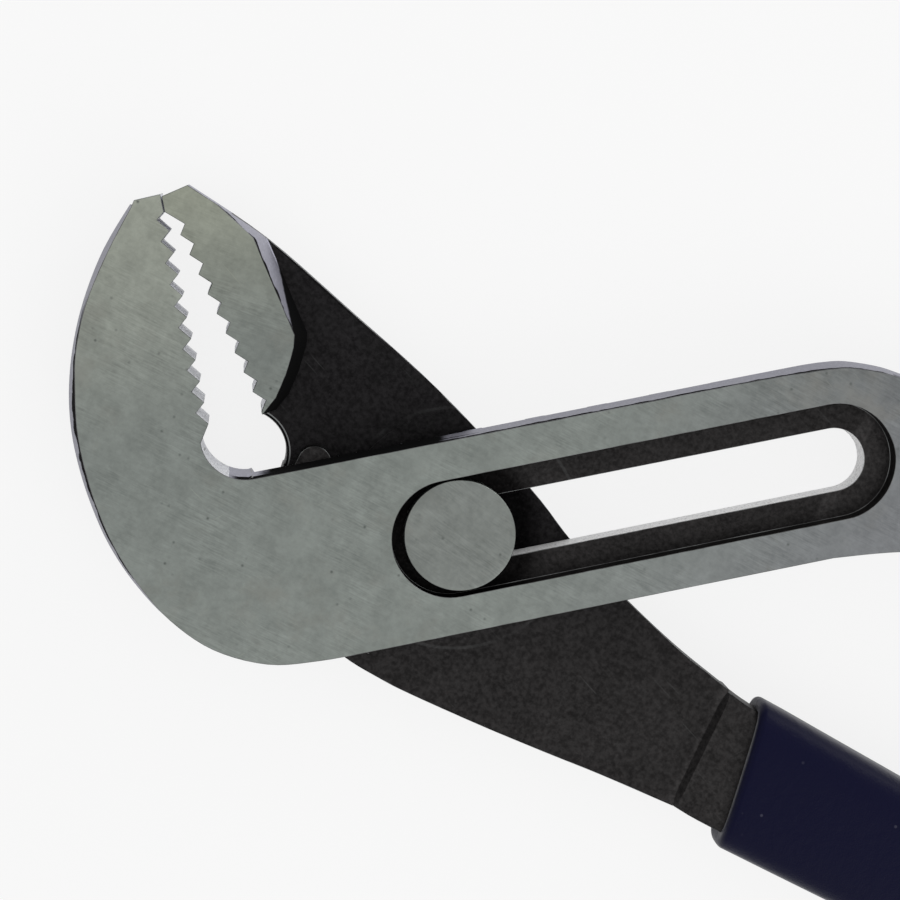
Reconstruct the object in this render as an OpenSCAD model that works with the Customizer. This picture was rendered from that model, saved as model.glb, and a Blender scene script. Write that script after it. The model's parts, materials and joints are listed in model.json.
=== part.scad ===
// Water pump pliers with a groove joint, lying flat: the ground faces look up and the handles run along +X.
// The origin is on the pivot's axis, at the outer face of the nut, with the pivot in the seat nearest the jaws
// and the jaws closed on each other at their tips.

/* [Thickness] */
// Thickness of the slotted arm
arm_t = 6.8; // [5.5:0.1:9]
// Thickness of the rear lever's neck, which passes behind the arm
neck_t = 4.8; // [4:0.1:7]
// Running gap between arm and neck, filled by the bearing pad
lever_gap = 0.1; // [0.05:0.01:0.3]
// Height of the pivot nut
nut_h = 5; // [3.5:0.1:7]

/* [Slot and seats] */
// Angle of the slot to the line of the handles
slot_a = 36; // [30:0.5:42]
// Number of seats along the slot
seats = 7; // [4:1:7]
// Distance from one seat to the next
seat_pitch = 8.8; // [8:0.1:9.5]
// Room in the slot past the seat nearest the jaws
jaw_end_play = 1.3; // [0.5:0.1:2]
// Room in the slot past the last seat
far_end_play = 0.2; // [0.1:0.1:1]
// Width of the slotted arm at its widest, down at the forging's parting line
arm_w = 27.1; // [25:0.1:29]
// Drop of the slot's middle line below the pivot, as the bolt rests against the slot's upper wall
arm_drop = 0.22; // [0:0.01:0.28]
// Slope of the arm's forged sides, inward at the ground face
arm_draft = 0.45; // [0.1:0.05:0.8]

/* [Pivot] */
// Diameter of the flat bolt head
head_d = 15.2; // [13:0.1:16]
// Thickness of the bolt head, which fills the step of the slot
head_t = 2.7; // [2:0.1:3.4]
// Room between the head and the side of the step
head_play = 0.45; // [0.4:0.01:0.8]
// Diameter of the bolt's shank
shank_d = 8.1; // [7.8:0.1:9]
// Room between the shank and the side of the slot
slot_play = 0.33; // [0.3:0.01:0.4]
// Room between the shank and the neck's bore
bore_play = 0.04; // [0.02:0.01:0.09]
// Diameter of the bolt's end, inside the nut
bolt_end_d = 7; // [6:0.1:7.5]
// Width of the nut across its flats
nut_af = 14; // [13:0.1:17]
// Diameter of the raised bearing pad on the neck
pad_d = 32.6; // [24:0.1:36]

/* [Tongue and grooves] */
// Radius of the tongue's middle line about the pivot
tongue_r = 21.8; // [20:0.1:23]
// Width of the tongue
tongue_w = 4.6; // [3.5:0.1:5]
// Height of the tongue above the neck
tongue_h = 1.9; // [1.4:0.1:2.4]
// Room round the tongue in its groove
tongue_play = 0.15; // [0.1:0.01:0.3]
// Angle above the slot's line at which the tongue starts
tongue_from_a = 21; // [20:0.5:26]
// Angle above the slot's line at which the tongue ends
tongue_to_a = 36.7; // [30:0.5:42]

/* [Hook jaw] */
// Distance along the slot from the pivot to the tooth tips
jaw_s = 30.4; // [29:0.1:34]
// Distance along the slot from the pivot to the back of the hook
hook_w = 48.9; // [47:0.1:52]
// Slope of the hook's forged back, inward at the ground face
hook_draft = 1.2; // [0.5:0.1:1.5]
// Height of the hook's tip above the slot's line
hook_h = 53; // [51:0.1:56]
// Distance from one tooth of the hook jaw to the next
tooth_pitch = 2.91; // [2.8:0.01:2.95]
// Depth of the hook jaw's teeth
tooth_d = 1.35; // [0.9:0.05:1.45]
// Height of the lowest tooth tip above the slot's line
tooth_t = 21.6; // [21:0.1:22.5]
// Length of the flat land at the very tip
land_l = 2.1; // [1.5:0.1:2.3]
// Gap between the two lands when closed
tip_gap = 0.12; // [0.1:0.01:0.3]
// Radius of the round throat behind the teeth
throat_r = 5.8; // [5:0.1:5.9]

/* [Rear lever] */
// Distance from the pivot back to the rear jaw's peak
rear_reach = 53.1; // [52:0.1:54]
// Height of the rear jaw's peak above the pivot
rear_rise = 27.3; // [26.5:0.1:28.5]
// Angle between the two rows of teeth when the tips touch
closed_a = 13.4; // [12:0.1:14]
// Distance from one tooth of the rear jaw to the next
rear_pitch = 2.87; // [2.75:0.01:2.9]
// Depth of the rear jaw's teeth
rear_tooth_d = 1.15; // [0.8:0.05:1.3]
// Distance from the pivot back to the rear tooth nearest the throat
rear_tooth_x = 31.6; // [31:0.1:32]
// Height of that tooth above the pivot
rear_tooth_y = 4.1; // [3.8:0.1:4.6]
// Radius of the neck's round edge about the pivot
boss_r = 25.5; // [24.6:0.1:26]
// Room between the neck's round edge and the shoulder of the hook jaw
shoulder_play = 0.35; // [0.2:0.05:0.8]
// Drop of the neck's lower edge below the pivot
neck_drop = 23.6; // [23:0.1:24.5]
// Sideways reach of the slope from the ground jaw down to the neck
step_w = 2; // [1:0.1:3]

/* [Handles] */
// Distance from the pivot to where the shank starts to thicken
ramp_x = 44.6; // [42:0.1:46]
// Length of the short step from the neck up to the shank
shank_step_l = 0.9; // [0.6:0.1:2]
// Distance from the pivot to the rear grip
rear_grip_x = 51.3; // [51:0.1:53]
// Lean of the rear grip's mouth, along the handle per millimetre across it
mouth_lean = 0.15; // [0:0.01:0.2]
// Distance from the pivot to the front grip
front_grip_x = 86; // [84:0.1:90]
// Distance from the pivot to the handles' ends
handle_l = 186; // [170:1:205]
// Half the thickness of the steel handles
handle_half_t = 4; // [3.4:0.1:4.6]
// Height of the handles' middle plane above the nut's face
handle_z = 9.6; // [8.8:0.1:10.4]
// Half the width of the steel handles where they are slimmest
handle_half_w = 7.1; // [6.4:0.1:7.8]
// Thickness of the dipped grips
grip_t = 2; // [1.5:0.1:2.2]
// Fit between grip and handle
grip_fit = 0.04; // [0.02:0.01:0.1]
// Length of the rounded lip at the grip's mouth
lip_l = 2.4; // [1.5:0.1:4]

/* [Hidden] */
$fn = 96;
// One overrun serves every cut
overrun = 1;

// Levels above the nut's outer face
neck_z = nut_h;
pad_z = neck_z + neck_t;
arm_z = pad_z + lever_gap;
face_z = arm_z + arm_t;
ledge_z = face_z - head_t;
part_share = 0.3;
part_z = arm_z + arm_t * part_share;

// Widths and places along the slot
slot_w = shank_d + 2 * slot_play;
step_slot_w = head_d + 2 * head_play;
last_seat = (seats - 1) * seat_pitch;
groove_w = tongue_w + 2 * tongue_play;
groove_d = tongue_h + tongue_play;
groove_to_a = 62;
shoulder_r = boss_r + shoulder_play;

// Edges broken on the bolt and the nut
head_chamfer = 0.25;
end_chamfer = 0.4;
nut_chamfer = 0.8;

// Turns a point about the origin
function turn(p, a) = [for (i = [0:len(p) - 1])
    i == 0 ? p[0] * cos(a) - p[1] * sin(a) : i == 1 ? p[0] * sin(a) + p[1] * cos(a) : p[i]];
// Turns every point of a list
function turned(points, a) = [for (p = points) turn(p, a)];
// A value between a and b, a share f of the way
function mix(a, b, f) = a + f * (b - a);
// Stretches shares of a width and a height to real sizes
function sized(shares, w, h) = [for (p = shares) [for (i = [0:len(p) - 1]) p[i] * [w, h, 1][i]]];
// Points beside the line from a to b: a share of the way along it, and a share of w up from it
function beside(a, b, shares, w) = [for (s = shares) a + s[0] * (b - a) + [0, s[1] * w]];
// Points along an arc about c
function arc(c, r, from, to, n = 14) =
    [for (i = [0:n]) let (a = from + (to - from) * i / n) c + r * [cos(a), sin(a)]];
// The smooth curve from p1 to p2, with p0 before it and p3 after it, a share f of the way along
function blend(p0, p1, p2, p3, f) =
    (2 * p1 + (p2 - p0) * f + (2 * p0 - 5 * p1 + 4 * p2 - p3) * f * f
        + (3 * p1 - p0 - 3 * p2 + p3) * f * f * f) / 2;
curve_n = 5;
// A smooth curve through all the points of a list
function curve(p) = let (last = len(p) - 1)
    concat([for (i = [0:last - 1]) for (k = [0:curve_n - 1])
        blend(p[max(i - 1, 0)], p[i], p[i + 1], p[min(i + 2, last)], k / curve_n)], [p[last]]);

// The direction out of a closed outline at point i
function outward(points, i) = let (n = len(points), a = points[(i + n - 1) % n], b = points[(i + 1) % n],
    l = [b[0] - a[0], b[1] - a[1]]) [l[1], -l[0]] / norm(l);
// An outline with every point moved out by d times its third value
function grown(points, d) = [for (i = [0:len(points) - 1])
    [points[i][0], points[i][1]] + d * points[i][2] * outward(points, i)];
// Every point of a list with the same third value
function tagged(points, v) = [for (p = points) [p[0], p[1], v]];

// The hook jaw, in the slot's own frame: the slot runs along +X below the pivot. A third value is the share
// of hook_draft by which the ground face stays inside the parting line there
arm_draft_share = arm_draft / hook_draft;
arm_top = arm_w / 2 - arm_drop;
arm_foot = -arm_w / 2 - arm_drop;
land_back_share = 0.2;
land_top_share = 0.99;
hook_top_share = 0.996;
throat_draft_share = 0.18;
hook_lean_share = 0.6;
land_s = -jaw_s - tooth_d * land_back_share;
land_top = hook_h * land_top_share;
hook_throat_c = [-jaw_s - tooth_d + throat_r, arm_top + throat_r];
// Each jaw has as many teeth as fit between the throat and the land
teeth = floor((land_top - land_l - tooth_t) / tooth_pitch - hook_lean_share) + 1;
hook_teeth = [for (i = [0:teeth - 1]) for (up = [0, hook_lean_share])
    [-jaw_s - (up > 0 ? tooth_d : 0), tooth_t + (i + up) * tooth_pitch, 0]];
// Shares of the hook's width, height and draft, from the tip's outer corner down to its widest place
hook_back_shares = [[-0.701, 1, 0.3], [-0.81, 0.889, 0.66], [-0.894, 0.769, 0.54], [-0.95, 0.655, 0.62],
    [-0.985, 0.544, 0.93], [-1, 0.442, 0.93], [-0.999, 0.342, 0.92], [-0.987, 0.245, 0.88]];
// Shares of the hook's width, of the arm's lower edge and of the draft, from there round to the arm
hook_heel_shares = [[-0.963, -0.55, 0.85], [-0.918, -0.14, 0.76], [-0.846, 0.29, 0.6], [-0.739, 0.67, 0.45],
    [-0.596, 0.92, 0.38], [-0.45, 0.99, 0.375], [-0.3, 1, 0.375]];
hook_outline = concat(
    tagged(arc(hook_throat_c, throat_r, 270, 180), throat_draft_share),
    hook_teeth,
    [[land_s, land_top - land_l, 0], [land_s, hook_h * hook_top_share, 0]],
    curve(concat(sized(hook_back_shares, hook_w, hook_h), sized(hook_heel_shares, hook_w, arm_foot))));

// The arm's two bends into the front handle, each from a place along the slot to the grip's mouth
front_mid_y = 37.6;
front_mouth_half_w = 8;
under_bend_share = 0.95;
over_bend_share = 0.97;
over_line_share = 0.84;
over_line_draft_share = 0.28;
over_draft_share = 0.48;
under_bend = turn([last_seat * under_bend_share, arm_foot], slot_a);
over_bend = turn([last_seat * over_bend_share, arm_top], slot_a);
under_mouth = [front_grip_x, front_mid_y - front_mouth_half_w];
over_mouth = [front_grip_x, front_mid_y + front_mouth_half_w];
under_shares = [[0, 0], [0.141, 0.056], [0.25, 0.088], [0.4, 0.107], [0.574, 0.099], [0.787, 0.063], [1, 0]];
over_shares = [[0, 0], [0.209, 0.06], [0.399, 0.105], [0.609, 0.135], [0.748, 0.134], [0.816, 0.128],
    [0.9, 0.095], [0.952, 0.052], [1, 0]];
hook_foot_share = 0.28;
hook_points = turned(hook_outline, slot_a);
back_from = len(arc(hook_throat_c, throat_r, 270, 180)) + 2 * teeth + 2;
front_outline = concat(
    hook_points,
    tagged([turn([-hook_w * hook_foot_share, arm_foot], slot_a)], arm_draft_share),
    tagged(curve(beside(under_bend, under_mouth, under_shares, arm_w)), arm_draft_share),
    tagged(curve(beside(over_mouth, over_bend, over_shares, arm_w)), over_draft_share),
    tagged([turn([last_seat * over_line_share, arm_top], slot_a)], over_line_draft_share));
// Where the forged flank stops under the arm and starts again over it, and where it ends in the throat
under_n = len(hook_points) + (len(under_shares) - 1) * curve_n;
over_n = under_n + 3;
throat_n = len(front_outline) + 12;

// The rear lever's outline, from the tip down its teeth, round the neck and back along its upper edge
rear_a = 90 - slot_a - closed_a;
rear_along = [-cos(rear_a), sin(rear_a)];
rear_in = [sin(rear_a), cos(rear_a)];
rear_lean_share = 0.38;
rear_first_tooth = [-rear_tooth_x, rear_tooth_y];
rear_teeth = [for (i = [teeth - 1:-1:0]) for (up = [rear_lean_share, 0])
    rear_first_tooth + (i + up) * rear_pitch * rear_along + (up > 0 ? rear_tooth_d : 0) * rear_in];
rear_land = turned([[land_s + tip_gap, land_top], [land_s + tip_gap, land_top - land_l]], slot_a);
throat_c_shares = [0.1, -1.155];
rear_throat_c = rear_first_tooth + throat_r * throat_c_shares;
boss_from_a = 184;
boss_to_a = 226;
// Shares of the shank's distance and of the neck's drop
neck_low_shares = [[-0.285, -0.87], [-0.148, -0.966], [-0.01, -1], [0.098, -1.01], [0.331, -1.01], [0.549, -1],
    [0.758, -0.985], [1.013, -0.979]];
shank_mid_y = -13.95;
shank_half_w = 9.35;
shank_lap = 3;
shank_end_share = 1.013;
shank_end_x = ramp_x * shank_end_share;
rear_peak = [-rear_reach, rear_rise];
rear_edge_end = [ramp_x, shank_mid_y + shank_half_w];
rear_edge_shares = [[0, 0], [0.085, -0.022], [0.183, -0.02], [0.293, 0.007], [0.386, 0.066], [0.558, 0.11],
    [0.712, 0.099], [0.869, 0.077], [1, 0]];
rear_outline = concat(
    rear_land,
    rear_teeth,
    arc(rear_throat_c, throat_r, 90, 8),
    curve(concat(arc([0, 0], boss_r, boss_from_a, boss_to_a, 6), sized(neck_low_shares, ramp_x, neck_drop))),
    [[shank_end_x, shank_mid_y + shank_half_w]],
    curve(beside(rear_edge_end, rear_peak, rear_edge_shares, rear_rise)));

// The edge of the ground rear jaw, as shares of its reach and rise, closed well past the teeth
jaw_face_shares = [[-1, 1], [-0.928, 0.985], [-0.836, 0.93], [-0.797, 0.905], [-0.697, 0.729], [-0.601, 0.56],
    [-0.589, 0.505], [-0.578, 0.363], [-0.576, 0.242], [-0.589, 0.137], [-0.85, 0.137], [-1.2, 0.8], [-1.1, 1]];
step_rise_share = 0.4;
skin_t = 0.01;

// The handles: share of the way along, share of the middle line's Y, share of the slim half width, and
// share of the way from the forged plate's thickness to the handle's
plate_half_share = 0.46;
front_row_shares = [[0, 1, 1.07, 0], [0.19, 1, 1.05, 1], [0.44, 0.98, 1, 1], [0.74, 0.926, 1.03, 1],
    [1, 0.86, 0.93, 1]];
rear_step_share = shank_step_l / (handle_l - ramp_x);
rear_mouth_share = (rear_grip_x - ramp_x) / (handle_l - ramp_x);
rear_foot_share = [0, 1, 1.31, 0];
rear_row_shares = [[rear_step_share, 1.007, 1.306, 0.36], [rear_mouth_share, 1.05, 1.27, 0.8],
    [0.215, 1.161, 1.155, 1], [0.392, 1.276, 1.056, 1], [0.604, 1.376, 1, 1], [0.816, 1.419, 1.03, 1],
    [1, 1.39, 0.93, 1]];
end_round = 6;

// Rows of a handle: place along X, middle, half width, middle height and half thickness
function handle_rows(from, mid, z, half_t, shares) = [for (s = shares)
    [mix(from, handle_l, s[0]), mid * s[1], handle_half_w * s[2], mix(z, handle_z, s[3]),
        mix(half_t, handle_half_t, s[3])]];
front_rows = curve(handle_rows(front_grip_x, front_mid_y, arm_z + arm_t / 2, arm_t * plate_half_share,
    front_row_shares));
rear_all_rows = handle_rows(ramp_x, shank_mid_y, neck_z + neck_t / 2, neck_t * plate_half_share,
    concat([rear_foot_share], rear_row_shares));
rear_rows = concat([rear_all_rows[0]], curve([for (i = [1:len(rear_row_shares)]) rear_all_rows[i]]));
// The row at a place along X
function row_at(rows, x) = [x, for (v = [1:4]) lookup(x, [for (r = rows) [r[0], r[v]]])];
// How much of the full section is left near a rounded end
function end_share(x, end, r) = x < end - r ? 1 : pow(max(0, 1 - pow((x - end + r) / r, 3)), 1 / 3);
// One ring of points: a rectangle whose corners are rounder as k falls
function ring(row, grow, k, f, n) = [for (i = [0:n - 1]) let (c = cos(360 * i / n), s = sin(360 * i / n))
    [row[0], row[1] + sign(c) * pow(abs(c), 2 / k) * (row[2] + grow) * f,
        row[3] + sign(s) * pow(abs(s), 2 / k) * (row[4] + grow) * f]];

// A closed skin over rings of equally many points, from the lowest X to the highest
module skin(rings) {
    m = len(rings);
    n = len(rings[0]);
    polyhedron(
        points = [for (r = rings) for (p = r) p],
        faces = concat(
            [[for (i = [0:n - 1]) i]],
            [for (j = [0:m - 2]) for (i = [0:n - 1]) let (h = (i + 1) % n)
                [j * n + i, (j + 1) * n + h, j * n + h]],
            [for (j = [0:m - 2]) for (i = [0:n - 1]) let (h = (i + 1) % n)
                [j * n + i, (j + 1) * n + i, (j + 1) * n + h]],
            [[for (i = [n - 1:-1:0]) (m - 1) * n + i]]));
}

core_k = 5;
core_n = 16;
end_stop_share = 0.97;
core_end_shares = [0, 0.35, 0.65, 0.85, end_stop_share];
// The steel of a handle inside its grip, or with grow the room for it
module handle_core(rows, grow) {
    first = rows[0];
    lap = [first[0] - shank_lap, first[1], first[2], first[3], first[4]];
    straight = [for (r = rows) if (r[0] < handle_l - end_round) r];
    rounded = [for (f = core_end_shares) row_at(rows, handle_l - end_round * (1 - f))];
    skin([for (r = concat([lap], straight, rounded))
        ring(r, grow, core_k, end_share(r[0], handle_l, end_round), core_n)]);
}

grip_k = 3.4;
grip_n = 24;
grip_steps = 16;
lip_thin_share = 0.45;
lean_reach = 25;
grip_end_shares = [0.3, 0.55, 0.75, 0.88, end_stop_share];
// A dipped grip over the handle, from its mouth at x, which leans, to its round end
module dipped_grip(rows, x, lean) {
    body_end = handle_l - end_round;
    reach = end_round + grip_t;
    lip = [for (a = [0:22.5:90]) [x + lip_l * (1 - cos(a)), mix(lip_thin_share, 1, sin(a))]];
    body = [for (i = [1:grip_steps]) [mix(x + lip_l, body_end, i / grip_steps), 1]];
    tail = [for (f = grip_end_shares) [body_end + reach * f, 1]];
    difference() {
        skin([for (p = concat(lip, body, tail))
            let (row = row_at(rows, p[0]), fade = lean * max(0, 1 - (p[0] - x) / lean_reach))
            [for (q = ring(row, grip_t * p[1], grip_k, end_share(p[0], handle_l + grip_t, reach), grip_n))
                [q[0] - fade * (q[1] - row[1]), q[1], q[2]]]]);
        handle_core(rows, grip_fit);
    }
}

// A stretch of a ring about the origin, with round ends
module arc_rib(r, w, h, from, to) {
    linear_extrude(h)
        polygon(concat(
            arc([0, 0], r + w / 2, from, to),
            arc(r * [cos(to), sin(to)], w / 2, to, to + 180),
            arc([0, 0], r - w / 2, to, from),
            arc(r * [cos(from), sin(from)], w / 2, from + 180, from + 360)));
}

slot_end_n = 32;
// A slot with round ends along +X, from one centre to another
module long_slot(w, from, to, h) {
    linear_extrude(h)
        polygon(concat(arc([to, 0], w / 2, -90, 90, slot_end_n), arc([from, 0], w / 2, 90, 270, slot_end_n)));
}

flank_drop = 0.15;
flank_lap = 1;
flank_bite = 0.25;
flank_low_share = 0.35;
// A forged flank along an outline, from point i to point j: just under the ground face at its top, fullest at
// the parting line, and down to the hook's foot or to the arm's
module forged_side(points, i, j) {
    n = len(points);
    ground = grown(points, -hook_draft);
    skin([for (k = [i:j])
        let (g = ground[k % n], out = outward(points, k % n), full = hook_draft * points[k % n][2],
            low = (k < len(hook_points) ? neck_z : arm_z) + flank_drop)
        [for (q = [[-flank_lap, face_z - flank_drop], [-flank_bite, face_z - flank_drop], [full, part_z],
            [full * flank_low_share, low], [-flank_lap, low]]) [g[0] + q[0] * out[0], g[1] + q[0] * out[1], q[1]]]]);
}

// The hook jaw, full depth up to the round shoulder that the neck turns in, with the thinner slotted arm
module front_lever() {
    color([0.52, 0.54, 0.51])
    difference() {
        union() {
            translate([0, 0, arm_z])
                linear_extrude(arm_t)
                    polygon(grown(front_outline, -hook_draft));
            difference() {
                union() {
                    translate([0, 0, neck_z])
                        linear_extrude(face_z - neck_z - overrun)
                            polygon(grown(hook_points, -hook_draft));
                    forged_side(front_outline, back_from + 1, under_n);
                }
                translate([0, 0, neck_z - overrun])
                    cylinder(r = shoulder_r, h = arm_z - neck_z + overrun);
            }
            forged_side(front_outline, over_n, throat_n);
            handle_core(front_rows, 0);
        }
        rotate([0, 0, slot_a]) {
            translate([0, -arm_drop, ledge_z])
                long_slot(step_slot_w, -jaw_end_play, last_seat + far_end_play, head_t + overrun);
            translate([0, -arm_drop, arm_z - overrun])
                long_slot(slot_w, -jaw_end_play, last_seat + far_end_play, arm_t + 2 * overrun);
            for (seat = [0:seats - 1])
                translate([seat * seat_pitch, 0, arm_z - overrun])
                    arc_rib(tongue_r, groove_w, groove_d + overrun, 180 - groove_to_a, 180 - tongue_from_a);
        }
    }
}

// The ground rear jaw above the recessed neck, with the arc tongue, the bearing pad and the shank
module rear_lever() {
    color([0.16, 0.16, 0.17])
    difference() {
        union() {
            translate([0, 0, neck_z])
                linear_extrude(neck_t)
                    polygon(rear_outline);
            intersection() {
                translate([0, 0, pad_z - overrun])
                    linear_extrude(face_z - pad_z + overrun)
                        polygon(rear_outline);
                jaw_block();
            }
            translate([0, 0, pad_z - overrun])
                linear_extrude(lever_gap + overrun)
                    intersection() {
                        circle(d = pad_d);
                        polygon(rear_outline);
                    }
            translate([0, 0, pad_z - overrun])
                arc_rib(tongue_r, tongue_w, tongue_h + overrun, 180 + slot_a - tongue_to_a,
                    180 + slot_a - tongue_from_a);
            handle_core(rear_rows, 0);
        }
        translate([0, 0, neck_z - overrun])
            cylinder(d = shank_d + 2 * bore_play, h = neck_t + lever_gap + 2 * overrun);
    }
}

// The space of the rear jaw above the neck, which slopes outward to its foot
module jaw_block() {
    face = sized(jaw_face_shares, rear_reach, rear_rise);
    hull() {
        translate([0, 0, face_z - skin_t])
            linear_extrude(skin_t)
                polygon(face);
        translate([step_w, step_w * step_rise_share, pad_z - overrun])
            linear_extrude(skin_t)
                polygon(face);
    }
}

// The bolt: flat head flush with the ground face, shank through slot and neck, end flush with the nut
module pivot_bolt() {
    color([0.56, 0.57, 0.54]) {
        translate([0, 0, ledge_z])
            cylinder(d = head_d, h = head_t - head_chamfer);
        translate([0, 0, face_z - head_chamfer])
            cylinder(d1 = head_d, d2 = head_d - 2 * head_chamfer, h = head_chamfer);
        translate([0, 0, neck_z])
            cylinder(d = shank_d, h = ledge_z - neck_z);
        translate([0, 0, end_chamfer])
            cylinder(d = bolt_end_d, h = neck_z - end_chamfer);
        cylinder(d1 = bolt_end_d - 2 * end_chamfer, d2 = bolt_end_d, h = end_chamfer);
    }
}

// The hexagon nut on the back of the neck
module pivot_nut() {
    corner_d = nut_af / cos(30);
    color([0.2, 0.2, 0.21])
    difference() {
        intersection() {
            cylinder(d = corner_d, h = nut_h, $fn = 6);
            cylinder(d1 = nut_af - nut_chamfer, d2 = nut_af - nut_chamfer + 4 * nut_h, h = nut_h);
        }
        translate([0, 0, -overrun])
            cylinder(d = bolt_end_d + 2 * bore_play, h = nut_h + 2 * overrun);
    }
}

module front_grip() {
    color([0.05, 0.05, 0.2])
        dipped_grip(front_rows, front_grip_x, 0);
}

module rear_grip() {
    color([0.05, 0.05, 0.2])
        dipped_grip(rear_rows, rear_grip_x, mouth_lean);
}

front_lever();
rear_lever();
pivot_bolt();
pivot_nut();
front_grip();
rear_grip();
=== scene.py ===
"""The looks of water pump pliers: ground and blackened forgings, a flat-headed bolt, two dipped grips.

Every length is in metres, in the frame of the construction: +Z out of the ground faces, +X along the
handles, and the pivot's axis through the origin. It lays the pliers out as an add-on would: sizes and
colours in property groups, one operator for each piece or pair of pieces, and one panel that lists them.
"""

import json
import math

import bmesh
import bpy
import numpy as np
from bpy.props import FloatProperty, FloatVectorProperty, PointerProperty
from mathutils import Matrix, Vector


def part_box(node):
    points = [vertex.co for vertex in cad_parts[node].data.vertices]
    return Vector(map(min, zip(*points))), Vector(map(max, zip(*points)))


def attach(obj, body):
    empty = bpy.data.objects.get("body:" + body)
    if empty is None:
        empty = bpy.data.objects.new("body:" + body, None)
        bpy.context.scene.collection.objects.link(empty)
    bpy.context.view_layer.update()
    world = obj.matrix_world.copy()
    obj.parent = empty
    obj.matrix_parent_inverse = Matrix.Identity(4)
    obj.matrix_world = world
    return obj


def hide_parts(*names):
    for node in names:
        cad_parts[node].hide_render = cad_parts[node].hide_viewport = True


bl_info = {
    "name": "Water Pump Pliers",
    "version": (1, 0, 0),
    "blender": (4, 5, 0),
    "location": "View3D > Sidebar > Pliers",
    "description": "Ground and blackened water pump pliers with dipped grips",
    "category": "Object",
}

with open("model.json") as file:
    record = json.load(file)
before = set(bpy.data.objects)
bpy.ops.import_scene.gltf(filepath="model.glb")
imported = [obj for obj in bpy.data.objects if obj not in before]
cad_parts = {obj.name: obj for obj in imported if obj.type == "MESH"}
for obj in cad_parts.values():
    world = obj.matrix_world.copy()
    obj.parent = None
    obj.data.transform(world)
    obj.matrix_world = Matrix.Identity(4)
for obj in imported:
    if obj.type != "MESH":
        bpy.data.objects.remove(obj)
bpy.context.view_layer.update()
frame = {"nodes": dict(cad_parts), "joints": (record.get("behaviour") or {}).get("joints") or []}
MM = 0.001

# Levels and places read from the construction
FACE_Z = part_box("front_lever")[1].z
HEAD_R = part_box("pivot_bolt")[1].x
NUT_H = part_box("pivot_nut")[1].z
SLIDE = next(joint for joint in frame["joints"] if joint["type"] == "slide")
SLOT_AXIS = SLIDE["axis"]
SLOT_TRAVEL = SLIDE["range_m"][1]
# The upper face of the rear lever's neck, which lies on the nut
NECK_Z = NUT_H + 4.8 * MM
UP = (0.0, 0.0, 1.0)
DOWN = (0.0, 0.0, -1.0)

# A face is level when its normal's Z is beyond this
FLAT = 0.9
# The slot's walls lie nearer than this to the line the bolt runs on, and the wide step is this deep
SLOT_WALL_R = 9.5 * MM
STEP_DEPTH = 2.8 * MM
# Along the slot from the pivot: where the front teeth, the throat and the free side of the arm begin
TEETH_S = -33 * MM
THROAT_S = -29 * MM
ARM_S = -10 * MM
# Across the slot: beyond these lie the front teeth and the arm's side
TEETH_T = 13 * MM
ARM_T = 10 * MM
# Where the rear lever's teeth begin, and the areas of the tongue's end and of the throat's rim on the
# neck, each as its range of X and its range of Y
REAR_TEETH = (-24 * MM, 3.3 * MM)
TONGUE = ((-25 * MM, -18 * MM), (-9 * MM, 3 * MM))
THROAT_RIM = ((-33.5 * MM, -24.6 * MM), (-6 * MM, 3.6 * MM))
# The crease across the rear shank, by its middle along the handle
CREASE_X = 45 * MM
# Edges sharper than this are broken
SHARP_ANGLE = math.radians(28)
# Neighbouring faces that differ by less than this become one
JOIN_ANGLE = math.radians(0.3)
# How wide the broken edge is round the tongue, as a share of its width elsewhere
TONGUE_EDGE = 0.9
# Radius of the bore in the nut
NUT_BORE_R = 3.54 * MM
# On the neck and the slot's ledge, greasy dirt and painted shade darken the forging this far from the
# pivot, and the arm has rubbed a ring of this radius
GREASE_AND_SHADE_R = 13.5 * MM
RUBBED_R = 16.9 * MM
# Colours of the faint stains on the ground steel and of the dust on the grips
STAIN = (0.2, 0.19, 0.165, 1.0)
DUST = (0.05, 0.05, 0.08, 1.0)

# The camera of the photograph: its place, where it looks, and which way is up in the picture
CAMERA_AT = (-48.0 * MM, 32.5 * MM, 338.0 * MM)
CAMERA_LOOK = (0.1284, -0.0692, -0.9893)
CAMERA_UP = (-0.4164, 0.9016, -0.1171)


def length(name, text, default, low=0.0, high=0.1):
    """A length that a user may change."""
    return FloatProperty(
        name=name, description=text, default=default, min=low, max=high, subtype="DISTANCE", unit="LENGTH"
    )


def colour(name, text, default):
    """A surface colour that a user may change, as scene-linear red, green and blue."""
    return FloatVectorProperty(name=name, description=text, default=default, min=0, max=1, subtype="COLOR")


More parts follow.
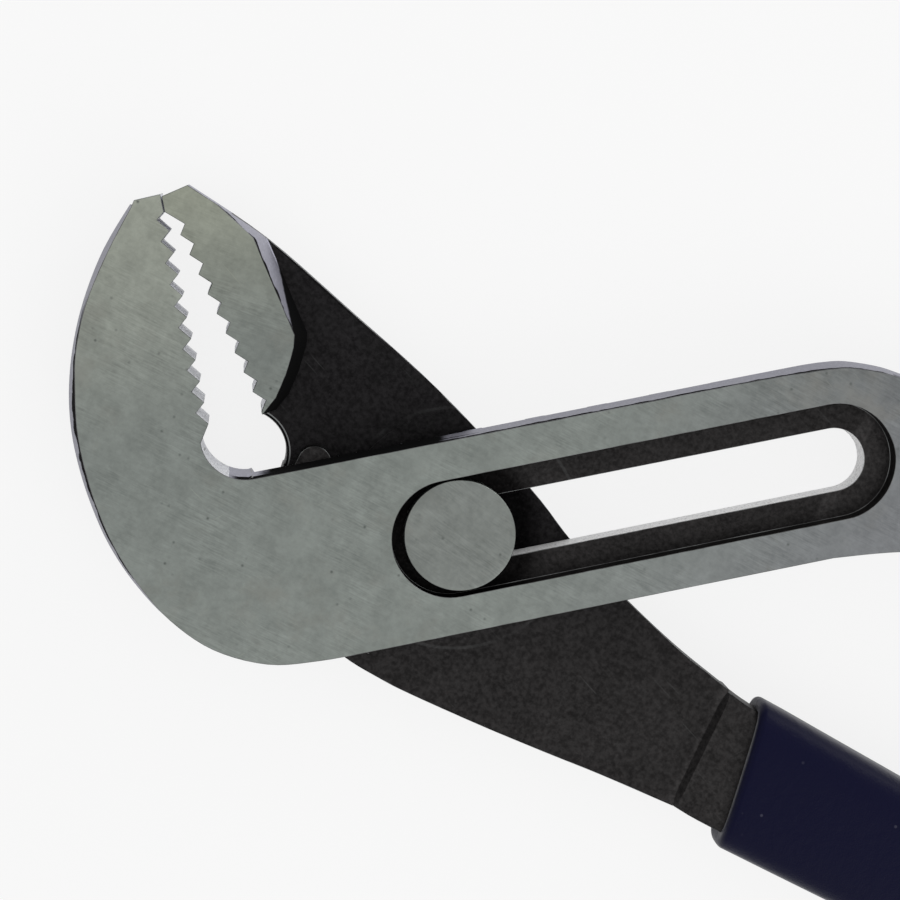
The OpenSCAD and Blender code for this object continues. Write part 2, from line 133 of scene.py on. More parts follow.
class ForgingSettings(bpy.types.PropertyGroup):
    """Sizes and colours of the two forged levers."""

    edge: length("Broken edge", "Width of the rounding on the machined edges", 0.11 * MM, 0.0, 1 * MM)
    rim: length("Throat rim", "Width of the bevel along the neck's throat", 0.8 * MM, 0.2 * MM, 2 * MM)
    weld: length("Weld distance", "Points of the solid closer than this become one", 0.03 * MM, 0.0, 1 * MM)
    ground: colour("Ground steel", "Colour of the ground front faces", (0.19, 0.208, 0.194))
    tip: colour("Ground tip", "Colour of the ground face at the hook's tip", (0.288, 0.304, 0.26))
    jaw: colour("Ground jaw", "Colour of the ground face at the rear jaw's peak", (0.275, 0.289, 0.236))
    far: colour("Ground arm", "Colour of the ground arm towards the handle", (0.162, 0.168, 0.175))
    # The lilac tint of this colour is a painted bluish reflection on the grey forged steel
    flank: colour("Forged flank", "Colour of the bare forged sides", (0.33, 0.33, 0.385))
    tooth: colour("Sawn teeth", "Colour of the sawn tooth flanks", (0.76, 0.77, 0.8))
    slot: colour("Slot wall", "Colour of the slot's bright narrow wall", (0.95, 0.95, 0.96))
    # This darkest tone also paints the shade on the flanks, besides the dark line under the ground faces
    # and the dark part of the throat's rim
    dark_and_shade: colour("Scale", "Colour of the darkest forging scale", (0.0028, 0.0028, 0.003))
    black: colour("Black oxide", "Colour of the black forging beside the jaws", (0.0138, 0.0132, 0.0138))
    brown: colour("Brown oxide", "Colour of the black forging near the handle", (0.0225, 0.0213, 0.0213))
    # This rubbed-edge colour also paints the highlight along the throat's rim
    worn_and_highlight: colour("Worn edge", "Colour where the finish has rubbed off the edges", (0.16, 0.165, 0.165))
    dull: colour("Dull edge", "Colour of the front lever's edges elsewhere", (0.06, 0.06, 0.06))


class PivotSettings(bpy.types.PropertyGroup):
    """Sizes and colours of the bolt and the nut."""

    edge: length("Head edge", "Width of the rounding round the flat head", 0.13 * MM, 0.0, 1 * MM)
    peen: length("Peened dimple", "Radius of the dimple that locks the nut", 1.6 * MM, 0.0, 3 * MM)
    head: colour("Bolt head", "Colour of the ground head", (0.176, 0.189, 0.178))
    nut: colour("Nut", "Colour of the blackened nut", (0.02, 0.02, 0.021))


class GripSettings(bpy.types.PropertyGroup):
    """Sizes and colour of the dipped grips."""

    lip: length("Lip radius", "Radius of the rounded mouth", 0.95 * MM, 0.2 * MM, 2 * MM)
    shell: length("Shell", "Thickness of the dipped plastic", 1.9 * MM, 0.5 * MM, 3 * MM)
    lean: FloatProperty(
        name="Mouth lean", description="Slope of the rear grip's mouth", default=0.15, min=0, max=0.4
    )
    plastic: colour("Plastic", "Colour of the dipped plastic", (0.0018, 0.0021, 0.021))


class StageSettings(bpy.types.PropertyGroup):
    """The camera's lens and the floor."""

    lens: FloatProperty(
        name="Lens", description="Focal length for a 36 mm sensor", default=96.0, min=20, max=300
    )
    floor_size: length("Floor", "Side of the floor", 6.0, 1.0, 20.0)
    paper: colour("Floor colour", "Colour of the floor", (0.92, 0.92, 0.92))


def settings(name):
    """The property group that main or a user has set."""
    return getattr(bpy.context.scene, name)


def link_mesh(name, verts, faces, body, material):
    """A mesh object from arrays of points and faces, riding on a body, with its material."""
    mesh = bpy.data.meshes.new(name)
    mesh.from_pydata(np.asarray(verts, float).tolist(), [], [list(map(int, f)) for f in faces])
    mesh.update()
    piece = bpy.data.objects.new(name, mesh)
    bpy.context.scene.collection.objects.link(piece)
    mesh.materials.append(material)
    mesh.shade_smooth()
    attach(piece, body)
    return piece


def grid_faces(rows, columns):
    """Quads of a grid that closes on itself along its columns: each point joins the next one in its row and
    in the row above."""
    row, column = np.meshgrid(np.arange(rows - 1), np.arange(columns), indexing="ij")
    here = row * columns + column
    beside = row * columns + (column + 1) % columns
    return np.stack([here, beside, beside + columns, here + columns], -1).reshape(-1, 4)


def close_grid(rings):
    """Points and faces of a closed skin over rings of equal length. The first and the last ring are closed
    by one point each, at the ring's mean, and the faces point outwards when the rings run anticlockwise
    as seen from where the rows go."""
    rows, columns, _ = rings.shape
    verts = np.concatenate([rings.reshape(-1, 3), rings[0].mean(0)[None], rings[-1].mean(0)[None]])
    faces = [tuple(f) for f in grid_faces(rows, columns)]
    first, last = rows * columns, rows * columns + 1
    for c in range(columns):
        d = (c + 1) % columns
        faces.append((first, d, c))
        faces.append((last, (rows - 1) * columns + c, (rows - 1) * columns + d))
    return verts, faces


# Node groups


def node(tree, kind, **values):
    """A new node, with its inputs or its own options set by name."""
    made = tree.nodes.new(kind)
    for key, value in values.items():
        if key in made.inputs:
            made.inputs[key].default_value = value
        else:
            setattr(made, key, value)
    return made


def object_place(tree):
    """The Object coordinates."""
    return tree.nodes.new("ShaderNodeTexCoord").outputs["Object"]


def new_group(name, numbers, masks):
    """An empty node group on Object coordinates, with number inputs and mask outputs."""
    group = bpy.data.node_groups.new(name, "ShaderNodeTree")
    for key, default in numbers.items():
        socket = group.interface.new_socket(key, in_out="INPUT", socket_type="NodeSocketFloat")
        socket.default_value = default
    for mask in masks:
        group.interface.new_socket(mask, in_out="OUTPUT", socket_type="NodeSocketFloat")
    enter = group.nodes.new("NodeGroupInput")
    leave = group.nodes.new("NodeGroupOutput")
    return group, enter, leave, object_place(group)


def ramp(tree, source, low, high):
    """A smooth step from 0 at low to 1 at high."""
    step = node(tree, "ShaderNodeMapRange", interpolation_type="SMOOTHSTEP")
    step.inputs["From Min"].default_value = low
    step.inputs["From Max"].default_value = high
    tree.links.new(source, step.inputs["Value"])
    return step.outputs["Result"]


def maths(tree, operation, *sources):
    """A Math node whose inputs are sockets or numbers."""
    made = tree.nodes.new("ShaderNodeMath")
    made.operation = operation
    for socket, source in zip(made.inputs, sources):
        if isinstance(source, (int, float)):
            socket.default_value = source
        else:
            tree.links.new(source, socket)
    return made.outputs["Value"]


def noise(tree, place, scale, detail=2.0, roughness=0.5):
    """Noise at a scale in features per metre."""
    made = node(tree, "ShaderNodeTexNoise", Scale=scale, Detail=detail, Roughness=roughness)
    tree.links.new(place, made.inputs["Vector"])
    return made.outputs["Fac"]


def stretched(tree, place, angle, along, across, depth=0.0):
    """Coordinates turned about Z by an angle, a socket or a number, and scaled along the turned axes."""
    turn = tree.nodes.new("ShaderNodeVectorRotate")
    turn.rotation_type = "Z_AXIS"
    tree.links.new(place, turn.inputs["Vector"])
    if isinstance(angle, (int, float)):
        turn.inputs["Angle"].default_value = angle
    else:
        tree.links.new(angle, turn.inputs["Angle"])
    scale = node(tree, "ShaderNodeVectorMath", operation="MULTIPLY")
    tree.links.new(turn.outputs["Vector"], scale.inputs[0])
    scale.inputs[1].default_value = (along, across, depth)
    return scale.outputs["Vector"]


def grinding_group():
    """Lines left by a grinding belt: noise drawn out to long fine streaks at one angle, in two widths, with
    a third noise that lets them fade in patches."""
    group, enter, leave, place = new_group("Grinding lines", {"Angle": 0.0}, ["Lines", "Height"])
    fine = noise(group, stretched(group, place, enter.outputs["Angle"], 420, 5200), 1.0, 2.0, 0.6)
    broad = noise(group, stretched(group, place, enter.outputs["Angle"], 160, 1700), 1.0, 2.0, 0.5)
    patch = ramp(group, noise(group, place, 140.0, 2.0), 0.3, 0.7)
    both = maths(group, "ADD", maths(group, "MULTIPLY", fine, 0.6), maths(group, "MULTIPLY", broad, 0.4))
    faded = maths(group, "MULTIPLY_ADD", maths(group, "SUBTRACT", both, 0.5), patch, 0.5)
    group.links.new(faded, leave.inputs["Lines"])
    group.links.new(both, leave.inputs["Height"])
    return group


def marks_group():
    """Marks of use: small round pits where a cell noise over X and Y comes near its seeds, each as strong
    as its cell's colour, and sparse scratches where a drawn-out noise peaks, in two directions."""
    group, enter, leave, place = new_group(
        "Pits and scratches", {"Pits per metre": 260.0, "Angle": 0.4}, ["Pits", "Scratches"]
    )
    cells = node(group, "ShaderNodeTexVoronoi", voronoi_dimensions="2D", Randomness=1.0)
    group.links.new(place, cells.inputs["Vector"])
    group.links.new(enter.outputs["Pits per metre"], cells.inputs["Scale"])
    near = ramp(group, cells.outputs["Distance"], 0.085, 0.0)
    strong = maths(group, "MULTIPLY", near, cells.outputs["Color"])
    rare = ramp(group, noise(group, place, 130.0, 1.0), 0.51, 0.62)
    group.links.new(maths(group, "MULTIPLY", strong, rare), leave.inputs["Pits"])
    first = noise(group, stretched(group, place, enter.outputs["Angle"], 120, 2600, 300), 1.0, 1.0)
    second = noise(group, stretched(group, place, 2.2, 160, 3000, 300), 1.0, 1.0)
    sharp = maths(group, "MAXIMUM", ramp(group, first, 0.72, 0.78), ramp(group, second, 0.74, 0.8))
    where = ramp(group, noise(group, place, 60.0, 2.0), 0.45, 0.6)
    group.links.new(maths(group, "MULTIPLY", sharp, where), leave.inputs["Scratches"])
    return group


def forged_group():
    """The skin of a forging: grains of scale over slow dents, as one height, and a mask of lighter rubbed
    grains."""
    group, enter, leave, place = new_group("Forged skin", {"Grain per metre": 2600.0}, ["Height", "Rubbed"])
    grain = node(group, "ShaderNodeTexNoise", Detail=3.0, Roughness=0.6)
    group.links.new(place, grain.inputs["Vector"])
    group.links.new(enter.outputs["Grain per metre"], grain.inputs["Scale"])
    dents = noise(group, place, 420.0, 3.0, 0.55)
    slow = noise(group, place, 120.0, 2.0)
    height = maths(group, "ADD", maths(group, "MULTIPLY", grain.outputs["Fac"], 0.35), dents)
    group.links.new(maths(group, "ADD", height, slow), leave.inputs["Height"])
    peaks = ramp(group, grain.outputs["Fac"], 0.5, 0.75)
    group.links.new(maths(group, "MULTIPLY", peaks, slow), leave.inputs["Rubbed"])
    return group


GROUPS = {"Grinding lines": grinding_group, "Pits and scratches": marks_group, "Forged skin": forged_group}


def group_node(tree, title, **values):
    """A node that places a shared group, which is built the first time."""
    made = tree.nodes.new("ShaderNodeGroup")
    made.node_tree = bpy.data.node_groups.get(title) or GROUPS[title]()
    for key, value in values.items():
        made.inputs[key].default_value = value
    return made


# Materials


def new_material(name, **values):
    """A material with a Principled BSDF, whose plain values are set on its own sockets."""
    material = bpy.data.materials.new(name)
    material.use_nodes = True
    tree = material.node_tree
    shader = tree.nodes["Principled BSDF"]
    for key, value in values.items():
        shader.inputs[key].default_value = value
    return material, tree, shader


def toned(colour_value, gain):
    """A colour brightened or darkened by a gain."""
    return [c * gain for c in colour_value]


def rgba(colour_value, gain=1.0):
    """A toned colour with full alpha, with nothing above 1."""
    return (*[min(1.0, c) for c in toned(colour_value, gain)], 1.0)


def mix_colours(tree, factor, first, second):
    """A colour between two, which are sockets or colours."""
    made = node(tree, "ShaderNodeMix", data_type="RGBA")
    for index, source in ((6, first), (7, second)):
        if isinstance(source, tuple):
            made.inputs[index].default_value = source
        else:
            tree.links.new(source, made.inputs[index])
    tree.links.new(factor, made.inputs[0])
    return made.outputs[2]


def scaled(tree, tint, factor):
    """A colour socket multiplied by a number socket."""
    made = node(tree, "ShaderNodeVectorMath", operation="SCALE")
    tree.links.new(tint, made.inputs[0])
    tree.links.new(factor, made.inputs["Scale"])
    return made.outputs["Vector"]


def bump(tree, shader, height, distance, strength=1.0):
    """A Bump node from a height to the shader's normal."""
    made = node(tree, "ShaderNodeBump", Distance=distance, Strength=strength)
    tree.links.new(height, made.inputs["Height"])
    tree.links.new(made.outputs["Normal"], shader.inputs["Normal"])


def fade(tree, place, towards, start, stop):
    """A smooth step from 0 at start to 1 at stop, in metres along a direction through the origin."""
    along = node(tree, "ShaderNodeVectorMath", operation="DOT_PRODUCT")
    tree.links.new(place, along.inputs[0])
    along.inputs[1].default_value = Vector(towards).normalized()
    return ramp(tree, along.outputs["Value"], start, stop)


def ground_steel(name, base, tip, far, angle, tip_from=13 * MM):
    """Steel ground flat on a belt: short fine lines in one direction, soft mottling and stains, a warmer
    and lighter tone towards the jaws' tips, from tip_from on, a darker one on the arm, a painted shade
    across the arm that darkens it towards its top edge, pits and nicks."""
    material, tree, shader = new_material(name, Metallic=1.0, Roughness=0.4)
    place = object_place(tree)
    lines = group_node(tree, "Grinding lines", Angle=angle)
    marks = group_node(tree, "Pits and scratches")
    to_tip = fade(tree, place, (-0.5, 0.86, 0.0), tip_from, 56 * MM)
    to_arm = fade(tree, place, (1.0, 0.0, 0.0), 5 * MM, 60 * MM)
    across = fade(tree, place, (-SLOT_AXIS[1], SLOT_AXIS[0], 0.0), -3 * MM, 12 * MM)
    # Painted shade: a dark reflection painted across the ground arm, darker towards its top edge
    arm_top_shade = maths(tree, "MULTIPLY", to_arm, across)
    tone = mix_colours(tree, to_arm, mix_colours(tree, to_tip, rgba(base), rgba(tip)), rgba(far))
    mottle = ramp(tree, noise(tree, place, 260.0, 5.0, 0.68), 0.3, 0.7)
    contrast = ramp(tree, lines.outputs["Lines"], 0.3, 0.7)
    grains = ramp(tree, noise(tree, place, 1100.0, 3.0, 0.7), 0.3, 0.7)
    level = 0.69
    for mask, gain in ((mottle, 0.2), (contrast, 0.32), (grains, 0.12), (arm_top_shade, -0.17)):
        level = maths(tree, "MULTIPLY_ADD", mask, gain, level)
    lined = scaled(tree, tone, level)
    stain = ramp(tree, noise(tree, place, 95.0, 4.0, 0.7), 0.5, 0.78)
    lined = mix_colours(tree, maths(tree, "MULTIPLY", stain, 0.35), lined, STAIN)
    pitted = mix_colours(tree, marks.outputs["Pits"], lined, rgba(base, 0.35))
    nicks = maths(tree, "MULTIPLY", marks.outputs["Scratches"], 0.35)
    nicked = mix_colours(tree, nicks, pitted, rgba(tip, 1.1))
    tree.links.new(nicked, shader.inputs["Base Color"])
    rough = maths(tree, "MULTIPLY_ADD", lines.outputs["Lines"], 0.12, 0.34)
    tree.links.new(rough, shader.inputs["Roughness"])
    bump(tree, shader, lines.outputs["Height"], 0.01 * MM, 0.5)
    return material


def forged_flank(name, base, black, line, grown=(), blackened=()):
    """Bare forged side: grainy grey steel, whose lilac tint is a painted reflection, with an uneven dark
    line under the ground face, between the two heights of line. A fade is a direction with a start and a
    stop. The line grows in along the fade grown, and beyond the last fade the side is painted black as
    shade. Both are dull."""
    material, tree, shader = new_material(name, **{"Specular IOR Level": 0.04})
    place = object_place(tree)
    skin = group_node(tree, "Forged skin")
    tint = mix_colours(tree, skin.outputs["Rubbed"], rgba(base, 0.8), rgba(base, 1.3))
    uneven = maths(tree, "MULTIPLY_ADD", noise(tree, place, 420.0, 3.0), 2.6 * MM, -1.3 * MM)
    height = node(tree, "ShaderNodeSeparateXYZ")
    tree.links.new(place, height.inputs[0])
    above = ramp(tree, maths(tree, "ADD", height.outputs["Z"], uneven), line[0], line[0] + 0.3 * MM)
    below = ramp(tree, height.outputs["Z"], line[1] + 0.1 * MM, line[1])
    over = maths(tree, "MULTIPLY", above, below)
    if grown:
        over = maths(tree, "MULTIPLY", over, fade(tree, place, *grown))
    lined = mix_colours(tree, over, tint, rgba(black, 2.0))
    # Painted shade: the side turns black beyond the last fade, where it faces away from the light
    if blackened:
        ragged = maths(tree, "MULTIPLY_ADD", noise(tree, place, 700.0, 3.0), 0.5, -0.25)
        in_painted_shade = maths(tree, "ADD", fade(tree, place, *blackened), ragged)
        in_painted_shade = ramp(tree, in_painted_shade, 0.2, 0.8)
        lined = mix_colours(tree, in_painted_shade, lined, rgba(black))
        over = maths(tree, "MAXIMUM", over, in_painted_shade)
    tree.links.new(lined, shader.inputs["Base Color"])
    tree.links.new(maths(tree, "MULTIPLY_ADD", over, -0.75, 0.75), shader.inputs["Metallic"])
    tree.links.new(maths(tree, "MULTIPLY_ADD", over, 0.5, 0.5), shader.inputs["Roughness"])
    bump(tree, shader, skin.outputs["Height"], 0.05 * MM)
    return material


def black_oxide(name, base, low, rubbed, grease_and_shade=0.8):
    """Blackened forging: near black with a forged skin, browner and lighter towards the handle, with
    painted light
    on the shank: lighter beyond the crease and lightest on the crease's slope, which lies in shade. Round
    the pivot it loses the share of its light given as the last argument, partly to greasy dirt on the neck
    and partly as painted shade beside the bolt head and between the levers.
    It has rubbed grains, faint scratches and part of a ring rubbed by the other lever."""
    material, tree, shader = new_material(name, Metallic=1.0, Roughness=0.5)
    place = object_place(tree)
    skin = group_node(tree, "Forged skin")
    marks = group_node(tree, "Pits and scratches")
    lower = fade(tree, place, (0.3, -0.95, 0.0), -8 * MM, 22 * MM)
    tone = mix_colours(tree, lower, rgba(base), rgba(low))
    crinkle = ramp(tree, noise(tree, place, 1500.0, 3.0, 0.65), 0.3, 0.7)
    cloud = maths(tree, "MULTIPLY_ADD", noise(tree, place, 190.0, 4.0, 0.6), 0.7, 0.27)
    cloud = maths(tree, "MULTIPLY_ADD", crinkle, 0.66, cloud)
    apart = node(tree, "ShaderNodeVectorMath", operation="LENGTH")
    tree.links.new(stretched(tree, place, 0.0, 1.0, 1.0), apart.inputs[0])
    # Round the pivot the colour darkens: partly greasy dirt, partly painted shade beside the bolt head and
    # between the levers; the underside is spared
    under = fade(tree, place, DOWN, -NECK_Z, 1 * MM - NECK_Z)
    outside = ramp(tree, apart.outputs["Value"], GREASE_AND_SHADE_R - 4 * MM, GREASE_AND_SHADE_R)
    clear_of_grease_and_shade = maths(tree, "MAXIMUM", outside, under)
    cloud = maths(tree, "MULTIPLY", cloud, maths(tree, "MULTIPLY_ADD", clear_of_grease_and_shade, grease_and_shade, 1 - grease_and_shade))
    # Painted light: the shank is lighter beyond the crease, and lightest on the crease's slope, which lies
    # in shade
    behind = fade(tree, place, (1.0, 0.0, 0.0), CREASE_X - 1.1 * MM, CREASE_X - 0.5 * MM)
    before = fade(tree, place, (-1.0, 0.0, 0.0), -CREASE_X - 1.3 * MM, -CREASE_X - 0.7 * MM)
    shank = maths(tree, "MULTIPLY_ADD", before, 0.6, behind)
    cloud = maths(tree, "MULTIPLY", cloud, maths(tree, "MULTIPLY_ADD", shank, 0.5, 0.7))
    grains = maths(tree, "MULTIPLY_ADD", skin.outputs["Rubbed"], 0.5, cloud)
    tint = scaled(tree, tone, grains)
    off = maths(tree, "ABSOLUTE", maths(tree, "SUBTRACT", apart.outputs["Value"], RUBBED_R))
    ring = ramp(tree, off, 0.3 * MM, 0.1 * MM)
    ring = maths(tree, "MULTIPLY", ring, ramp(tree, noise(tree, place, 90.0), 0.45, 0.6))
    faint = maths(tree, "MULTIPLY_ADD", marks.outputs["Scratches"], 0.1, maths(tree, "MULTIPLY", ring, 0.1))
    tree.links.new(mix_colours(tree, faint, tint, rgba(rubbed)), shader.inputs["Base Color"])
    bump(tree, shader, skin.outputs["Height"], 0.11 * MM)
    return material


def tooth_steel(name, base, metallic=0.6):
    """Sawn tooth flanks: pale and grainy, with dark grains."""
    material, tree, shader = new_material(name, Metallic=metallic, Roughness=0.6)
    skin = group_node(tree, "Forged skin", **{"Grain per metre": 3600})
    grain = ramp(tree, noise(tree, object_place(tree), 3200.0, 2.0, 0.7), 0.3, 0.55)
    tint = mix_colours(tree, grain, rgba(base, 0.68), rgba(base, 1.2))
    tree.links.new(tint, shader.inputs["Base Color"])
    bump(tree, shader, skin.outputs["Height"], 0.04 * MM)
    return material


def worn_edge_with_highlight(name, bright, dark, rim=None):
    """A broken edge where the finish has rubbed off in places. Along a rim, given as the two heights of its
    dark part, it is dark and has one unbroken light line above, a painted highlight along the throat."""
    material, tree, shader = new_material(name, Metallic=1.0, Roughness=0.35)
    place = object_place(tree)
    rubbed = ramp(tree, noise(tree, place, 260.0, 3.0), 0.35, 0.65)
    if rim:
        above = fade(tree, place, UP, rim[1], rim[1] + 0.03 * MM)
        below = fade(tree, place, DOWN, -rim[0], 0.03 * MM - rim[0])
        rubbed = maths(tree, "MULTIPLY", rubbed, maths(tree, "MAXIMUM", above, below))
        # Painted highlight: one unbroken light line along the top of the throat's rim
        throat = fade(tree, place, (-1.0, 0.0, 0.0), 24.4 * MM, 25.4 * MM)
        flat = fade(tree, place, DOWN, -NECK_Z - 0.2 * MM, -NECK_Z - 0.1 * MM)
        line = maths(tree, "MULTIPLY", maths(tree, "MULTIPLY", throat, above), flat)
        rubbed = maths(tree, "MAXIMUM", rubbed, line)
    tree.links.new(mix_colours(tree, rubbed, rgba(dark), rgba(bright)), shader.inputs["Base Color"])
    return material


def dipped_plastic(name, base):
    """Satin dipped plastic: dark, with a low gloss, a faint orange peel and a few pale specks of dust."""
    gloss = {"Roughness": 0.42, "Specular IOR Level": 0.07}
    sheen = {"Sheen Weight": 0.32, "Sheen Roughness": 0.4}
    material, tree, shader = new_material(name, **gloss, **sheen)
    place = object_place(tree)
    specks = node(tree, "ShaderNodeTexVoronoi", Scale=330.0, Randomness=1.0)
    tree.links.new(place, specks.inputs["Vector"])
    dust = ramp(tree, specks.outputs["Distance"], 0.1, 0.04)
    rare = ramp(tree, noise(tree, place, 170.0, 1.0), 0.55, 0.62)
    tint = mix_colours(tree, maths(tree, "MULTIPLY", dust, rare), rgba(base), DUST)
    tree.links.new(tint, shader.inputs["Base Color"])
    peel = maths(tree, "MULTIPLY_ADD", noise(tree, place, 3800.0, 1.0), 0.4, noise(tree, place, 800.0, 2.0))
    bump(tree, shader, peel, 0.08 * MM, 0.9)
    return material


# The forged levers


def rise(face):
    """How high a face reaches from its lowest to its highest corner."""
    heights = [corner.co.z for corner in face.verts]
    return max(heights) - min(heights)


def is_deep(face):
    """Whether a face lies well below the ground faces."""
    return face.calc_center_median().z < FACE_Z - 4 * MM


def forging(name, cad, body, materials, sort_face, edge, weld, hollows, rim=None):
    """A lever's skin from its solid: the solid's points are welded, flat neighbours are joined, every face
    gets the finish that sort_face picks from its centre and normal, and every sharp edge is broken by a
    bevel of the width edge, a little thinner round the tongue. With hollows, the corners that face inwards
    have it too. A rim is a wider bevel, as its width and a test that picks its edges. The last material
    covers the bevels."""
    mesh = frame["nodes"][cad].data.copy()
    mesh.name = name
    mesh.materials.clear()
    for material in materials:
        mesh.materials.append(material)
    shape = bmesh.new()
    shape.from_mesh(mesh)
    bmesh.ops.remove_doubles(shape, verts=shape.verts, dist=weld)
    bmesh.ops.dissolve_limit(
        shape,
        angle_limit=JOIN_ANGLE,
        use_dissolve_boundaries=False,
        verts=shape.verts,
        edges=shape.edges,
        delimit=set(),
    )
    weights = shape.edges.layers.float.new("bevel_weight_edge")
    # Walls deep in the lever that are too low for a broken edge
    low_walls = {f for f in shape.faces if abs(f.normal.z) < 0.5 and rise(f) < 0.4 * MM and is_deep(f)}
    width = rim[0] if rim else edge
    for line in shape.edges:
        sides = line.link_faces
        if len(sides) != 2 or line.calc_face_angle(0.0) <= SHARP_ANGLE:
            continue
        a, b = (corner.co for corner in line.verts)
        if rim and rim[1](a, b):
            line[weights] = 1.0
        elif low_walls.isdisjoint(sides) and not on_crease(a, b) and (hollows or line.is_convex):
            line[weights] = edge / width * (TONGUE_EDGE if is_tongue((a + b) / 2) else 1.0)
        else:
            line.smooth = False
    for face in shape.faces:
        face.material_index = sort_face(face.calc_center_median(), face.normal)
        face.smooth = True
    shape.to_mesh(mesh)
    shape.free()
    piece = bpy.data.objects.new(name, mesh)
    bpy.context.scene.collection.objects.link(piece)
    broken = piece.modifiers.new("Broken edges", "BEVEL")
    broken.limit_method = "WEIGHT"
    broken.offset_type = "WIDTH"
    broken.width = width
    broken.segments = 2
    broken.material = len(materials) - 1
    broken.use_clamp_overlap = False
    flat = piece.modifiers.new("Flat faces stay flat", "WEIGHTED_NORMAL")
    flat.mode = "FACE_AREA"
    flat.weight = 80
    flat.keep_sharp = True
    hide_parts(cad)
    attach(piece, body)
    return piece


def is_ground(point):
    """Whether a point lies at the level of the ground faces."""
    return point.z > FACE_Z - 0.05 * MM


def along_slot(point):
    """A point's place along the slot from the pivot and across it."""
    return (
        point.x * SLOT_AXIS[0] + point.y * SLOT_AXIS[1],
        -point.x * SLOT_AXIS[1] + point.y * SLOT_AXIS[0],
    )


def front_finish(centre, normal):
    """Which of the front lever's finishes a face has: 0 ground, 1 forged flank, 2 black, 3 tooth, 4 the
    arm's side, 5 its side from the throat on, 6 slot wall."""
    s, t = along_slot(centre)
    if normal.z > FLAT:
        return 0 if is_ground(centre) else 2
    if normal.z < -FLAT:
        return 2
    beyond = max(-s, s - SLOT_TRAVEL, 0.0)
    if math.hypot(beyond, t) < SLOT_WALL_R:
        return 2 if centre.z > FACE_Z - STEP_DEPTH else 6
    if TEETH_S < s < THROAT_S and t > TEETH_T:
        return 3
    if s > THROAT_S and t > ARM_T:
        return 4 if s > ARM_S else 5
    return 1


def is_inside(point, area):
    """Whether a point, seen along Z, lies inside an area."""
    return all(low < value < high for value, (low, high) in zip(point, area))


def is_tongue(point):
    """Whether a point belongs to the tongue's end, which stands above the rear lever's neck."""
    return point.z > NECK_Z + 1 * MM and is_inside(point, TONGUE)


def rear_finish(centre, normal):
    """Which of the rear lever's finishes a face has: 0 ground, 1 jaw flank, 2 black, 3 tooth, 4 tongue."""
    if normal.z > FLAT and is_tongue(centre):
        return 4
    if normal.z > FLAT and is_ground(centre):
        return 0
    x, y = REAR_TEETH
    if centre.x < x and centre.y > y and normal.x < -0.2 and abs(normal.z) < 0.5:
        return 3
    if centre.z > NECK_Z + 0.1 * MM and centre.x < -26 * MM and centre.y > 0.0:
        return 1
    return 2


def on_throat_rim(a, b):
    """Whether an edge of the rear lever, given by its ends, lies on the neck's face along the throat."""
    level = abs(a.z - NECK_Z) < 0.02 * MM and abs(b.z - NECK_Z) < 0.02 * MM
    return level and is_inside((a + b) / 2, THROAT_RIM)


def on_crease(a, b):
    """Whether an edge, given by its ends, lies across the shank where it thickens. That crease is forged
    soft and has no rubbed edge."""
    near = max(a.y, b.y) < -1 * MM and abs((a.x + b.x) / 2 - CREASE_X) < 1.2 * MM
    return near and abs(a.y - b.y) > abs(a.x - b.x)


def sawn_teeth(base):
    """The material of both jaws' teeth, which is made the first time."""
    return bpy.data.materials.get("Sawn teeth") or tooth_steel("Sawn teeth", base)


class PLIERS_OT_front_lever(bpy.types.Operator):
    """Dress the front lever: hook jaw, slotted arm and handle steel"""

    bl_idname = "pliers.front_lever"
    bl_label = "Front lever"

    def execute(self, context):
        s = settings("pliers_forging")
        finishes = [
            ground_steel("Ground steel", s.ground, s.tip, s.far, math.radians(2)),
            forged_flank(
                "Forged flank",
                s.flank,
                s.dark_and_shade,
                (FACE_Z - 2.8 * MM, FACE_Z - 0.9 * MM),
                ((0.35, -0.94, 0.0), -30 * MM, -22 * MM),
            ),
            # The slot's ledge darkens round the pivot: painted shade beside the bolt head, with greasy dirt
            black_oxide("Slot black", s.brown, s.brown, s.worn_and_highlight),
            sawn_teeth(s.tooth),
            # Painted shade: the arm's side is painted black towards the pivot, where it lies in shadow
            forged_flank(
                "Arm flank",
                s.flank,
                s.dark_and_shade,
                (FACE_Z - 1.5 * MM, FACE_Z - 0.2 * MM),
                blackened=(-Vector(SLOT_AXIS), -3 * MM, 1.6 * MM),
            ),
            # A lighter copy of the flank colour, painted light on the lit throat wall, and painted shade
            # further along the arm
            forged_flank(
                "Throat flank",
                toned(s.flank, 1.4),
                s.dark_and_shade,
                (FACE_Z - 2.8 * MM, FACE_Z),
                (SLOT_AXIS, THROAT_S - 0.2 * MM, THROAT_S + 1 * MM),
                (SLOT_AXIS, THROAT_S + 1.5 * MM, THROAT_S + 7.5 * MM),
            ),
            tooth_steel("Slot wall", s.slot, 0.2),
            worn_edge_with_highlight("Worn edge", s.worn_and_highlight, s.dull),
        ]
        names = ("front_forging", "front_lever", "front")
        piece = forging(*names, finishes, front_finish, s.edge, s.weld, True)
        return {"FINISHED"}


